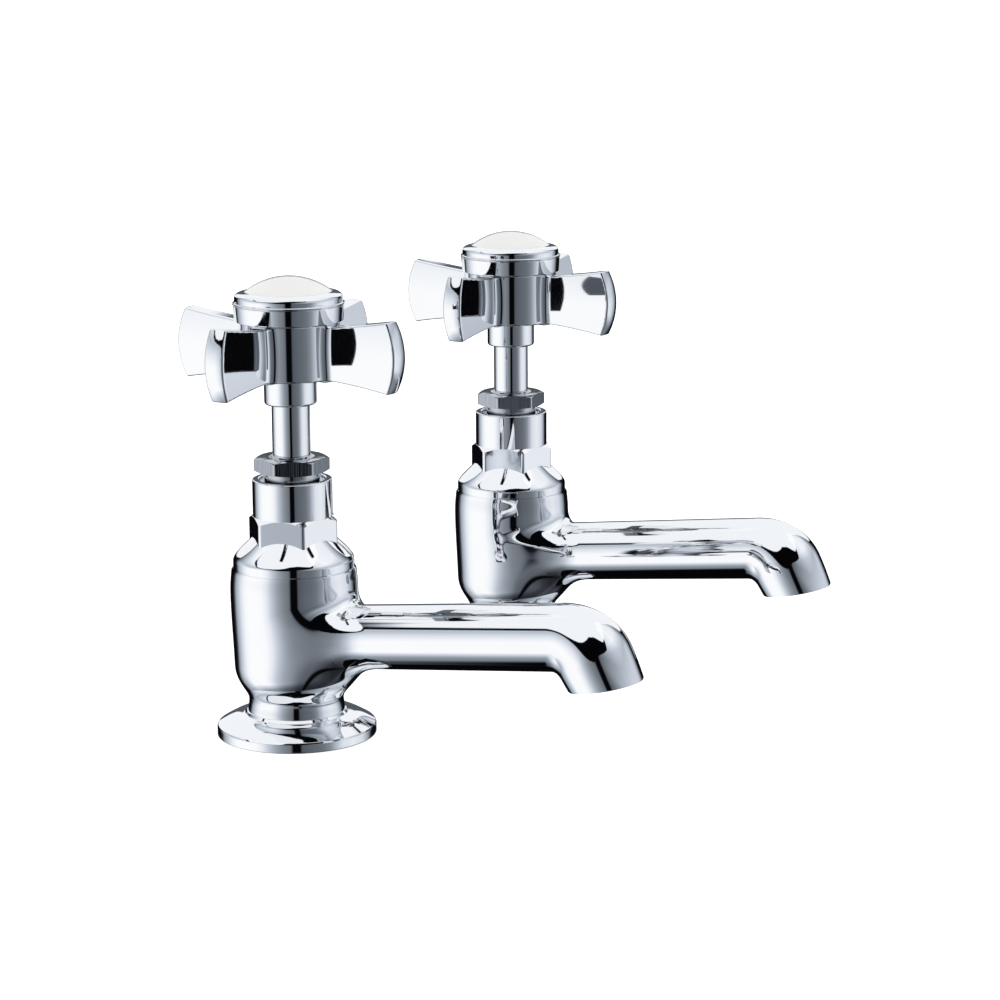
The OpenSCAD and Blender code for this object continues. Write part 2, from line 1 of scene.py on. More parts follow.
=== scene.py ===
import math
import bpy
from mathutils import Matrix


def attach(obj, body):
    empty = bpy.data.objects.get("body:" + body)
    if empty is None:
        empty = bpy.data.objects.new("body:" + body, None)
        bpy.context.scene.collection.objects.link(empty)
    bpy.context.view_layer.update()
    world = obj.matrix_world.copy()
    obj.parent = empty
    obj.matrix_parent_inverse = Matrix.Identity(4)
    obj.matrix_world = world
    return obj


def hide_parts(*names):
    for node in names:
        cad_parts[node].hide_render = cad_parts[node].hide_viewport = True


bl_info = {
    "name": "Pair of pillar taps",
    "version": (1, 0, 0),
    "blender": (4, 5, 0),
    "location": "View3D > Sidebar > Taps",
    "description": "Builds the finished look of two cross-handle pillar taps on their packed model",
    "category": "Object",
}

import bmesh
import bpy
import numpy as np
from bpy.props import FloatProperty, PointerProperty, StringProperty
from mathutils import Matrix, Vector

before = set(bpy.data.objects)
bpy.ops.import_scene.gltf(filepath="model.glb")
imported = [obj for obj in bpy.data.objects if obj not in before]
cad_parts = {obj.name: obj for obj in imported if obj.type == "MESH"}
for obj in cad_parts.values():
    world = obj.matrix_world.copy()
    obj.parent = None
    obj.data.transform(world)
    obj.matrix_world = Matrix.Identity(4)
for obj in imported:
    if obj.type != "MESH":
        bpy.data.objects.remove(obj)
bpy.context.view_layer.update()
SIDES = {"hot": -1, "cold": 1}
BESIDE, UP = Vector((1, 0, 0)), Vector((0, 0, 1))
# The finish of each slot that gets new pieces
FINISH_OF = {"chrome_plate": "Polished chromium plate", "satin_chrome": "Turned chromium plate",
             "brass": "Machined brass", "white_porcelain": "Glazed porcelain"}


# Properties. Lengths are in metres here, and the shapes below are worked out in millimetres.
# Heights are above the deck.

def length(name, millimetres):
    return FloatProperty(name=name, default=millimetres / 1000, unit="LENGTH", precision=5)


def angle(name, degrees):
    return FloatProperty(name=name, default=math.radians(degrees), subtype="ANGLE")


def hex_colour(name, default):
    return StringProperty(name=name, default=default)


class TapSizes(bpy.types.PropertyGroup):
    spacing: length("Distance between the tap axes", 136)
    flange: length("Radius of the deck flange", 25)
    foot: length("Height of the body's foot", 7.9)
    waist: length("Height of the narrow neck", 11.8)
    rim: length("Height of the body's top rim", 53.3)
    barrel: length("Height of the barrel's top", 81.4)
    boss: length("Height of the handle's lower end", 104.7)
    hub: length("Height of the hub's underside", 113.3)
    collar: length("Height of the collar's lower edge", 130.7)
    hub_top: length("Height of the collar's top", 135.7)
    cap_top: length("Height of the cap's edge round the index", 139.6)


class SpoutSizes(bpy.types.PropertyGroup):
    centre: length("Height of the spout's centre line on the tap axis", 30.8)
    reach: length("Distance from the tap axis to the middle of the outlet", 110.7)
    rise: angle("Angle at which the spout rises", 7)
    bend: length("Radius of the bend's centre line", 10.8)
    nozzle: length("Length of the nozzle below the bend", 8.64)
    nozzle_angle: angle("Angle of the nozzle from straight down", 30)
    lip_angle: angle("Angle of the outlet's rim from level", 12)
    root: length("Radius where the spout leaves the bowl", 9.9)
    end: length("Radius where the bend starts", 10.3)
    knuckle: length("Radius where the bend ends", 11.6)
    outlet: length("Radius of the nozzle at the outlet", 10.95)
    blend_over: length("Softness of the join above the spout", 5)
    blend_side: length("Softness of the join at the spout's sides", 14)
    blend_under: length("Softness of the join below the spout", 13)


class HandleSizes(bpy.types.PropertyGroup):
    hub: length("Radius of the hub", 15.6)
    reach: length("Distance from the tap axis to the arms' tips", 40.3)
    corner: length("Distance from the tap axis to the tips' corners", 37.4)
    thickness: length("Thickness of each arm at its middle", 6.8)
    belly: length("Swell of an arm's face towards its middle", 0.5)
    blend: length("Softness of the join between arm and hub", 2.6)


class Finishes(bpy.types.PropertyGroup):
    chrome: hex_colour("Polished chromium plate", "#F4F5F7")
    satin: hex_colour("Turned chromium plate", "#D2D5D9")
    brass: hex_colour("Machined brass", "#CDA35C")
    steel: hex_colour("Machined stainless steel", "#B9BBBD")
    rubber: hex_colour("Moulded rubber", "#1B1B1C")
    graphite: hex_colour("Pressed graphite packing", "#2D2E31")
    fibre: hex_colour("Vulcanised fibre", "#8A2F1F")
    nylon: hex_colour("Moulded nylon", "#EDEBE3")
    porcelain: hex_colour("Glazed porcelain", "#F2F1EE")


GROUPS = {"tap_sizes": TapSizes, "spout_sizes": SpoutSizes, "handle_sizes": HandleSizes,
          "tap_finishes": Finishes}


class InMillimetres:
    """The lengths of a property group in millimetres, and its angles in radians."""

    def __init__(self, group):
        for key, made in type(group).__annotations__.items():
            scale = 1000 if made.keywords.get("unit") == "LENGTH" else 1
            setattr(self, key, getattr(group, key) * scale)


def sizes(context):
    """The three groups of sizes: tap, spout and handle."""
    scene = context.scene
    return [InMillimetres(getattr(scene, g)) for g in ("tap_sizes", "spout_sizes", "handle_sizes")]


# Outlines, in millimetres. An outline is a list of (radius, height).

def rounded(corners, steps=4):
    """Turns corners (radius, height, fillet) into an outline with its fillets drawn as arcs.

    A point is added on the straight beside each fillet, so that the straight stays flat."""
    beside = 0.2
    points = []
    for i, corner in enumerate(corners):
        here = Vector(corner[:2])
        if len(corner) == 2:
            points.append(tuple(here))
            continue
        before = Vector(corners[i - 1][:2]) - here
        after = Vector(corners[(i + 1) % len(corners)][:2]) - here
        half = before.angle(after) / 2
        run = min(corner[2] / math.tan(half), before.length * 0.45, after.length * 0.45)
        a, b = before.normalized(), after.normalized()
        centre = here + (a + b).normalized() * (run * math.tan(half) / math.sin(half))
        start, end = here + a * run, here + b * run
        if before.length > run + 2 * beside:
            points.append(tuple(start + a * beside))
        spread = (start - centre).angle_signed(end - centre)
        for k in range(steps + 1):
            turn = Matrix.Rotation(-spread * k / steps, 2)
            points.append(tuple(centre + turn @ (start - centre)))
        if after.length > run + 2 * beside:
            points.append(tuple(end + b * beside))
    return points


def curve(a, pull_a, b, pull_b, steps):
    """Points along a cubic curve from a to b, with a control standing off each end."""
    a, b = Vector(a), Vector(b)
    c, d = a + Vector(pull_a), b + Vector(pull_b)
    out = []
    for i in range(steps + 1):
        t, s = i / steps, 1 - i / steps
        out.append(tuple(a * s ** 3 + c * 3 * s * s * t + d * 3 * s * t * t + b * t ** 3))
    return out


def spin(bm, outline, closed=True, steps=144):
    """Spins an outline once round the tap axis. A closed outline gives a closed solid."""
    verts = [bm.verts.new((r, 0, z)) for r, z in outline]
    pairs = list(zip(verts, verts[1:])) + ([(verts[-1], verts[0])] if closed else [])
    edges = [bm.edges.new(pair) for pair in pairs]
    bmesh.ops.spin(bm, geom=verts + edges, cent=(0, 0, 0), axis=UP, dvec=(0, 0, 0),
                   angle=2 * math.pi, steps=steps, use_merge=True, use_duplicate=False)
    bmesh.ops.remove_doubles(bm, verts=bm.verts, dist=1e-4)
    bmesh.ops.recalc_face_normals(bm, faces=bm.faces)


def turned(outline, steps=144):
    """A closed outline spun into a new mesh."""
    bm = bmesh.new()
    spin(bm, outline, steps=steps)
    return bm


def join_rings(bm, rings):
    """Makes the faces between each ring of vertices and the next."""
    for a, b in zip(rings, rings[1:]):
        for k in range(len(a)):
            j = (k + 1) % len(a)
            bm.faces.new((a[k], a[j], b[j], b[k]))


def hexagon_radius(turn, across, corner):
    """Radius of a hexagon with rounded corners, in the direction turn from one corner."""
    half = across / 2
    fold = abs((turn + math.pi / 6) % (math.pi / 3) - math.pi / 6)
    flat = half / math.cos(math.pi / 6 - fold)
    centre = (half - corner) / math.cos(math.pi / 6)
    inside = corner ** 2 - (centre * math.sin(fold)) ** 2
    if inside < 0:
        return flat
    touch = math.atan2(corner / 2, centre + corner * math.cos(math.pi / 6))
    return centre * math.cos(fold) + math.sqrt(inside) if fold < touch else flat


def hexagon_nut(across, low, high, bore, turn, bevels, corner, sink=0):
    """A hexagon with bevels on its corners and a bore, as a closed ring in a new mesh.

    bevels are the depths of the low and high ones, as shares of a bevel at 30 degrees. corner is
    the radius of the upright edges, and sink the countersink's depth at the bore's top."""
    bm = bmesh.new()
    half, steps = across / 2, 288
    slope = math.tan(math.radians(30))
    # Rings of (radius, height, bevel). A ring without a radius follows the hexagon.
    rings = [(bore, low, 0), (half - 0.15, low, 0), (None, low, -bevels[0]),
             (None, high, bevels[1]), (half - 0.15, high, 0)]
    rings += [(bore + sink, high, 0)] if sink else []
    rings += [(bore, high - sink, 0)]
    loops = []
    for radius, height, bevel in rings:
        loop = []
        for k in range(steps):
            a = 2 * math.pi * k / steps
            edge = hexagon_radius(a - turn, across, corner)
            r, drop = radius or edge, max(edge - half + 0.05, 0) * slope * bevel
            loop.append(bm.verts.new((r * math.cos(a), r * math.sin(a), height - drop)))
        loops.append(loop)
    join_rings(bm, loops + loops[:1])
    bmesh.ops.recalc_face_normals(bm, faces=bm.faces)
    return bm


def screw_thread(root, crest, pitch, low, high):
    """A helical thread between two heights, as a closed sleeve with flat ends in a new mesh."""
    bm, steps = bmesh.new(), 48
    turns = math.ceil((high - low) / pitch) + 2
    section = [(root, 0), (root, 0.12), (crest, 0.42), (crest, 0.58), (root, 0.88), (root, 1)]
    verts = [bm.verts.new((r, 0, low - pitch + t * pitch)) for r, t in section]
    edges = [bm.edges.new(pair) for pair in zip(verts, verts[1:])]
    bmesh.ops.spin(bm, geom=verts + edges, cent=(0, 0, 0), axis=UP, dvec=(0, 0, pitch / steps),
                   angle=2 * math.pi * turns, steps=steps * turns, use_merge=False,
                   use_duplicate=False)
    bmesh.ops.remove_doubles(bm, verts=bm.verts, dist=1e-3)
    for height, way in ((low, -1), (high, 1)):
        bmesh.ops.bisect_plane(bm, geom=bm.verts[:] + bm.edges[:] + bm.faces[:], dist=1e-5,
                               plane_co=(0, 0, height), plane_no=(0, 0, way), clear_outer=True)
    inner = []
    for height in (low, high):
        loop = [e for e in bm.edges if e.is_boundary
                and all(abs(v.co.z - height) < 1e-3 for v in e.verts)]
        inner += draw_in(bm, loop, UP * height, [(UP * height, UP, root - 0.35)])
    bmesh.ops.bridge_loops(bm, edges=inner)
    bmesh.ops.recalc_face_normals(bm, faces=bm.faces)
    return bm


def take_in(bm, other):
    """Adds the shape in another mesh to bm, and frees the other."""
    mesh = bpy.data.meshes.new("shape")
    other.to_mesh(mesh)
    other.free()
    bm.from_mesh(mesh)
    bpy.data.meshes.remove(mesh)


# Cast shapes. A cast skin is the surface where a field, in millimetres, is nought.

def soft_min(a, b, reach):
    """The lesser of two fields, with a fillet where they come within reach of each other."""
    h = np.clip(reach - np.abs(a - b), 0, None) / reach
    return np.minimum(a, b) - h * h * reach / 4


def slope_of(field, points, step):
    """The field's gradient at each point."""
    out = np.empty_like(points)
    for axis in range(3):
        shift = np.zeros(3)
        shift[axis] = step
        out[:, axis] = (field(points + shift) - field(points - shift)) / (2 * step)
    return out


def settle(points, field, rounds, step=0.1):
    """Moves points along the field's gradient until they lie on the skin."""
    longest = 0.6
    for _ in range(rounds):
        g = slope_of(field, points, step)
        move = (field(points) / np.maximum((g * g).sum(1), 1e-9))[:, None] * g
        size = np.linalg.norm(move, axis=1)[:, None]
        points = points - move * np.minimum(1, longest / np.maximum(size, 1e-9))
    return points


def cast_skin(bm, field, voxel, cuts, evening=4):
    """Fuses the rough solids in bm into one skin, cuts its ends off and settles it on the field.

    cuts are (point, direction) of planes, and what lies beyond them near the point goes."""
    mesh = bpy.data.meshes.new("rough")
    bm.to_mesh(mesh)
    rough = bpy.data.objects.new("rough", mesh)
    bpy.context.scene.collection.objects.link(rough)
    remesh = rough.modifiers.new("Fuse", "REMESH")
    remesh.mode, remesh.voxel_size, remesh.adaptivity = "VOXEL", voxel, 0
    fused = rough.evaluated_get(bpy.context.evaluated_depsgraph_get())
    bm.clear()
    bm.from_mesh(fused.to_mesh())
    fused.to_mesh_clear()
    bpy.data.objects.remove(rough)
    bpy.data.meshes.remove(mesh)
    for point, direction in cuts:
        cut_near(bm, point + direction, direction)
    bm.verts.ensure_lookup_table()
    bm.verts.index_update()
    points = np.array([v.co for v in bm.verts])
    ends = np.array([[v.index for v in e.verts] for e in bm.edges])
    count = np.bincount(ends.ravel(), minlength=len(points))[:, None]
    free = np.array([not v.is_boundary for v in bm.verts])
    points = settle(points, field, 6)
    for _ in range(evening):
        near = np.zeros_like(points)
        np.add.at(near, ends[:, 0], points[ends[:, 1]])
        np.add.at(near, ends[:, 1], points[ends[:, 0]])
        near /= np.maximum(count, 1)
        points[free] = 0.4 * points[free] + 0.6 * near[free]
        points = settle(points, field, 2)
    points = settle(points, field, 3)
    for v, p in zip(bm.verts, points):
        v.co = p
    for point, direction in cuts:
        cut_near(bm, point, direction, 0.02)
    bmesh.ops.recalc_face_normals(bm, faces=bm.faces)
    return bm.faces.layers.int.new("skin")


def cut_near(bm, point, direction, snap=1e-5, reach=40):
    """Cuts off what lies beyond a plane, but only near the point, so that the bend isn't cut."""
    near = {v for v in bm.verts if (v.co - point).length < reach}
    geom = (list(near) + [e for e in bm.edges if near.issuperset(e.verts)]
            + [f for f in bm.faces if near.issuperset(f.verts)])
    bmesh.ops.bisect_plane(bm, geom=geom, dist=snap, plane_co=point, plane_no=direction,
                           clear_outer=True)


def open_loop(bm, point, direction, off=0.05, reach=30):
    """The edges of the skin's open end that lie in one plane, near a point."""
    return [e for e in bm.edges if e.is_boundary
            and all(abs((v.co - point).dot(direction)) < off and (v.co - point).length < reach
                    for v in e.verts)]


def draw_in(bm, edges, centre, rings):
    """Extrudes an open round end through rings of (centre, axis, radius) and returns the last.

    A radius may be a pair, along X and square to it."""
    side = rings[0][1].normalized().cross(BESIDE).normalized()
    turns = {}
    for v in {v for e in edges for v in e.verts}:
        away = v.co - centre
        turns[v] = math.atan2(away.dot(side), away.dot(BESIDE))
    for place, axis, radius in rings:
        made = bmesh.ops.extrude_edge_only(bm, edges=edges)["geom"]
        drawn = {}
        for v in (g for g in made if isinstance(g, bmesh.types.BMVert)):
            for other in (e.other_vert(v) for e in v.link_edges):
                if other in turns:
                    drawn[v] = turns[other]
        side = axis.normalized().cross(BESIDE).normalized()
        wide, deep = radius if isinstance(radius, tuple) else (radius, radius)
        for v, turn in drawn.items():
            v.co = place + wide * math.cos(turn) * BESIDE + deep * math.sin(turn) * side
        edges = [e for e in made if isinstance(e, bmesh.types.BMEdge)
                 and all(v in drawn for v in e.verts)]
        turns = drawn
    return edges


# Placing. Every shape is made once about its own tap axis and then set on both taps.

def read(data, key, kind, width=1):
    """One property of all of a mesh's vertices, corners or faces, as an array."""
    out = np.empty(len(data) * width, kind)
    data.foreach_get(key, out)
    return out.reshape(-1, width) if width > 1 else out


def set_cast_normals(mesh, field):
    """Gives the cast skin the exact normals of its field, so that reflections run true."""
    exact = slope_of(field, read(mesh.vertices, "co", float, 3), 0.12)
    exact /= np.maximum(np.linalg.norm(exact, axis=1), 1e-9)[:, None]
    corners = read(mesh.corner_normals, "vector", np.float32, 3).astype(float)
    owner = read(mesh.loops, "vertex_index", np.int32)
    skin = read(mesh.attributes["skin"].data, "value", np.int32)
    on_skin = np.repeat(skin, read(mesh.polygons, "loop_total", np.int32)) == 1
    corners[on_skin] = exact[owner[on_skin]]
    mesh.normals_split_custom_set(corners)


def pair_of(context, bm, name, body, node, slot="chrome_plate", field=None):
    """Sets a shape on both taps, as pieces that ride a body and stand for a CAD node.

    A body or node name starts with its side, unless it is the root. field is a cast skin's."""
    for side, sign in SIDES.items():
        mesh = bpy.data.meshes.new(f"{side}_{name}")
        bm.to_mesh(mesh)
        mesh.polygons.foreach_set("use_smooth", np.ones(len(mesh.polygons), bool))
        mesh.set_sharp_from_angle(angle=math.radians(35))
        if field is not None:
            set_cast_normals(mesh, field)
        shift = sign * context.scene.tap_sizes.spacing / 2
        mesh.transform(Matrix.Translation((shift, 0, 0)) @ Matrix.Scale(0.001, 4))
        mesh.materials.append(bpy.data.materials[FINISH_OF[slot]])
        made = bpy.data.objects.new(f"{side}_{name}", mesh)
        context.scene.collection.objects.link(made)
        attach(made, body if body == "root" else f"{side}_{body}")
        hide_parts(f"{side}_{node}")
    bm.free()


# Finishes

def linear(code):
    """Linear colour of a hex value such as #E6E8EB."""
    parts = [int(code[i:i + 2], 16) / 255 for i in (1, 3, 5)]
    return tuple(p / 12.92 if p <= 0.04045 else ((p + 0.055) / 1.055) ** 2.4 for p in parts) + (1,)


def add(tree, kind, inputs=None, **settings):
    """Adds a node with its settings. An input is a value, a socket, or a node's first output."""
    node = tree.nodes.new("ShaderNode" + kind)
    for key, value in settings.items():
        setattr(node, key, value)
    for key, value in (inputs or {}).items():
        value = value.outputs[0] if isinstance(value, bpy.types.Node) else value
        if isinstance(value, bpy.types.NodeSocket):
            tree.links.new(value, node.inputs[key])
        else:
            node.inputs[key].default_value = value
    return node


def surface(name, values, code, share, scale, rough, depth=0.0, detail=2.0, strength=1.0,
            waves=None):
    """A material with one noise behind its colour, its roughness and its bump.

    The hex colour is darker by up to share, and rough is the range of roughness. depth is the
    bump's, in metres. A scale is in waves per metre along each axis, and waves is the scale of
    a bump with a noise of its own."""
    made = bpy.data.materials.new(name)
    made.use_nodes = True
    tree = made.node_tree
    tree.nodes.clear()
    noises, place = [], add(tree, "TexCoord").outputs["Object"]
    for size, fine in ((scale, detail), (waves, 1.0)) if waves else ((scale, detail),):
        at = add(tree, "Mapping", {"Vector": place, "Scale": size})
        noises.append(add(tree, "TexNoise", {"Vector": at, "Scale": 1.0, "Detail": fine}))
    grain, colour = noises[0], linear(code)
    dark = tuple(c * (1 - share) for c in colour[:3]) + (1,)
    looks = {
        "Base Color": add(tree, "Mix", {0: grain, 6: dark, 7: colour}, data_type="RGBA").outputs[2],
        "Roughness": add(tree, "MapRange", {"Value": grain, "From Min": 0.25, "From Max": 0.75,
                                            "To Min": rough[0], "To Max": rough[1]})}
    if depth:
        looks["Normal"] = add(tree, "Bump", {"Height": noises[-1], "Strength": strength,
                                             "Distance": depth})
    add(tree, "OutputMaterial", {"Surface": add(tree, "BsdfPrincipled", {**values, **looks})})


class TAPS_OT_finishes(bpy.types.Operator):
    """Make the materials of the taps"""
    bl_idname = "taps.finishes"
    bl_label = "Finishes"

    def execute(self, context):
        hexes = context.scene.tap_finishes
        metal = {"Metallic": 1.0}

        # Bright chromium plate on polished cast brass: a clean mirror, a little blue beside
        # nickel, with the faint slow waves that a hand-held buff leaves, some 15 mm across.
        surface("Polished chromium plate", metal, hexes.chrome, 0.03, (60, 60, 60), (0.025, 0.05),
                0.00001, strength=0.6, waves=(70, 70, 70))

        # Turned brass under a thin plate that isn't buffed: dull grey, with upright tool lines
        # on the flats that spread its highlights. Lines 0.6 mm apart, coarser than the real
        # 0.2 mm, so that the picture can show them.
        surface("Turned chromium plate", metal, hexes.satin, 0.4, (1700, 1700, 50), (0.08, 0.16),
                0.00002)

        # Machined brass, bare: warm, with fine rings from the lathe about 0.3 mm apart.
        surface("Machined brass", metal, hexes.brass, 0.2, (40, 40, 3000), (0.2, 0.36), 0.00002)

        # Machined stainless steel of the handle screw: grey with rings.
        surface("Machined stainless steel", metal, hexes.steel, 0.15, (60, 60, 3000),
                (0.22, 0.38), 0.00001)

        # Moulded nitrile rubber: near black and matt, with the fine grain of its mould.
        surface("Moulded nitrile rubber", {"IOR": 1.5}, hexes.rubber, 0.3, (1500, 1500, 1500),
                (0.62, 0.8), 0.00004)

        # Pressed graphite packing: dark grey with a greasy sheen and short pressed strands.
        surface("Pressed graphite packing", {"IOR": 1.6}, hexes.graphite, 0.4, (500, 500, 1400),
                (0.35, 0.6), 0.00008, detail=4.0)

        # Vulcanised fibre: dry brick red with a papery layered edge.
        surface("Vulcanised fibre", {"IOR": 1.55}, hexes.fibre, 0.35, (300, 300, 4000),
                (0.6, 0.85), 0.00003, detail=3.0)

        # Moulded nylon: milky white, slightly glossy, with a soft orange peel.
        surface("Moulded nylon", {
            "IOR": 1.53, "Subsurface Weight": 0.2, "Subsurface Radius": (0.002, 0.0018, 0.0015)},
            hexes.nylon, 0.05, (700, 700, 700), (0.35, 0.5), 0.00003)

        # Glazed porcelain: clean white body under clear glass, smooth and wet looking.
        surface("Glazed porcelain", {
            "IOR": 1.5, "Coat Weight": 0.6, "Coat Roughness": 0.03, "Coat IOR": 1.5,
            "Subsurface Weight": 0.08, "Subsurface Radius": (0.002, 0.0018, 0.0016)},
            hexes.porcelain, 0.02, (150, 150, 150), (0.12, 0.2), 0.00001, strength=0.5)

        # The inner pieces keep their CAD meshes
        kept = {"Moulded nitrile rubber": ("base_seal", "valve_washer", "cap_o_ring"),
                "Moulded nylon": ("deck_washer",), "Vulcanised fibre": ("bonnet_washer",),
                "Pressed graphite packing": ("gland_packing",),
                "Machined brass": ("gland_ring", "jumper", "jumper_nut"),
                "Machined stainless steel": ("handle_screw",)}
        for name, nodes in kept.items():
            for node in (f"{side}_{n}" for n in nodes for side in SIDES):
                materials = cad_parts[node].data.materials
                materials.clear()
                materials.append(bpy.data.materials[name])
        return {"FINISHED"}


class TAPS_OT_flange(bpy.types.Operator):
    """Build the domed deck flanges"""
    bl_idname = "taps.flange"
    bl_label = "Deck flanges"

    def execute(self, context):
        tap, _, _ = sizes(context)
        r, foot = tap.flange, tap.foot
        inner, hollow, seat = r - 4.5, 2.5, 11.6
        # A flat dome, then a small steep shoulder up to the body's foot
        dome = curve((r - 0.3, 3.3), (-2.6, 1.55), (16.5, 6.85), (3.2, -0.4), 28)
        outline = rounded(
            [(inner, 0), (r, 0, 0.3), (r, 2.8, 0.25), (*dome[0], 0.3)] + dome[1:]
            + [(16.25, 6.95, 0.2), (15.5, foot - 0.1, 0.3), (14.6, foot, 0.1), (seat, foot, 0.1),
               (seat, hollow), (inner, hollow)], steps=5)
        pair_of(context, turned(outline), "deck_flange", "root", "base_flange")
        return {"FINISHED"}


def bowl_outline(tap):
    """Radius of the body of revolution against height, smoothed, as two arrays."""
    foot, waist, rim = tap.foot, tap.waist, tap.rim
    points = (
        curve((15.35, foot), (-0.25, 1.2), (14.75, waist), (0, -1.5), 40)
        + curve((14.75, waist), (0, 1.9), (19.1, waist + 10.2), (-0.12, -5), 60)[1:]
        + curve((19.1, waist + 10.2), (0.2, 8), (19.95, waist + 34.2), (0, -8), 60)[1:]
        + curve((19.95, waist + 34.2), (0, 3.5), (19.45, rim), (0.12, -2), 40)[1:])
    radii = np.array([p[0] for p in points])
    heights = np.array([p[1] for p in points])
    step, blur, half = 0.05, 0.95, 60
    z = np.arange(foot - 4, rim + 4, step)
    r = np.interp(z, heights, radii)
    window = np.exp(-0.5 * (np.arange(-half, half + 1) * step / blur) ** 2)
    r = np.convolve(np.pad(r, half, mode="edge"), window / window.sum(), mode="valid")
    return z, r


def bowl_field(tap):
    """Field of the body of revolution."""
    z, r = bowl_outline(tap)
    lean = np.gradient(r, z)

    def field(p):
        radius = np.hypot(p[:, 0], p[:, 1])
        here = np.interp(p[:, 2], z, r)
        tilt = np.interp(p[:, 2], z, lean)
        return (radius - here) / np.sqrt(1 + tilt * tilt)
    return field


class SpoutLine:
    """The spout's centre line: a rising straight, a bend and the nozzle."""

    def __init__(self, spout):
        lean = spout.nozzle_angle
        self.rise, self.turn = spout.rise, math.pi / 2 + spout.rise - lean
        self.bend, self.nozzle = spout.bend, spout.nozzle
        corner = self.bend * math.tan(self.turn / 2)
        corner_out = spout.reach - (corner + self.nozzle) * math.sin(lean)
        self.along = Vector((math.cos(self.rise), math.sin(self.rise)))
        self.start = Vector((0, spout.centre))
        self.straight = corner_out / math.cos(self.rise) - corner
        bend_at = self.start + self.along * self.straight
        self.pivot = bend_at + self.bend * Vector((math.sin(self.rise), -math.cos(self.rise)))
        self.down = Vector((math.sin(lean), -math.cos(lean)))
        self.mouth_from = self.pivot + self.bend * Vector((math.cos(lean), math.sin(lean)))
        self.out = Vector((0, -math.sin(spout.lip_angle), -math.cos(spout.lip_angle)))
        self.total = self.straight + self.bend * self.turn + self.nozzle

    def at(self, s):
        """Place and direction on the line, s millimetres from the tap axis, as 3D vectors."""
        if s <= self.straight:
            p, d = self.start + self.along * s, self.along
        elif s <= self.straight + self.bend * self.turn:
            a = math.pi / 2 + self.rise - (s - self.straight) / self.bend
            p = self.pivot + self.bend * Vector((math.cos(a), math.sin(a)))
            d = Vector((math.sin(a), -math.cos(a)))
        else:
            d = self.down
            p = self.mouth_from + d * (s - self.straight - self.bend * self.turn)
        return Vector((0, -p[0], p[1])), Vector((0, -d[0], d[1]))


def spout_radius(spout, line, s):
    """Outer radius along the spout's line. It swells in the bend and draws in to the outlet."""
    body = spout.root + (spout.end - spout.root) * np.clip(s / line.straight, 0, 1)
    swell = np.clip((s - line.straight) / (line.bend * line.turn), 0, 1)
    swell = swell * swell * (3 - 2 * swell)
    shrink = np.clip((s - line.straight - line.bend * line.turn) / line.nozzle, 0, 1.5)
    return (body + (spout.knuckle - spout.end) * swell
            + (spout.outlet - spout.knuckle) * shrink ** 1.6)


def spout_field(spout):
    """Field of the spout and its nozzle."""
    line = SpoutLine(spout)

    def field(p):
        y, z = -p[:, 1], p[:, 2]

        def off_line(out, up, s):
            return np.sqrt(p[:, 0] ** 2 + out ** 2 + up ** 2) - spout_radius(spout, line, s)

        def off_straight(start, way, low, high, passed):
            out, up = y - start[0], z - start[1]
            s, n = out * way[0] + up * way[1], up * way[0] - out * way[1]
            held = np.clip(s, low, high)
            return off_line(s - held, n, passed + held)

        run = off_straight(line.start, line.along, 10, line.straight, 0)
        nozzle = off_straight(line.mouth_from, line.down, 0, line.nozzle + 7,
                              line.total - line.nozzle)
        out, up = y - line.pivot[0], z - line.pivot[1]
        top = math.pi / 2 + line.rise
        fall = (top - np.arctan2(up, out) + math.pi) % (2 * math.pi) - math.pi
        held = np.clip(fall, 0, line.turn)
        bend = off_line(out - line.bend * np.cos(top - held), up - line.bend * np.sin(top - held),
                        line.straight + line.bend * held)
        return np.minimum(soft_min(run, nozzle, 3.0), bend)
    return field


def casting_field(tap, spout):
    """Field of the whole body casting: bowl and spout with the soft join between them."""
    bowl, pipe = bowl_field(tap), spout_field(spout)

    def field(p):
        up = p[:, 2] - (spout.centre - p[:, 1] * math.tan(spout.rise))
        lift = up / np.maximum(np.hypot(up, p[:, 0]), 1e-6)
        over = np.clip((lift - 0.3) / 0.7, 0, 1)
        over = over * over * (3 - 2 * over)
        under = np.clip(-lift, 0, 1)
        reach = spout.blend_side + (spout.blend_under - spout.blend_side) * under
        reach = reach + (spout.blend_over - reach) * over
        return soft_min(bowl(p), pipe(p), reach)
    return field


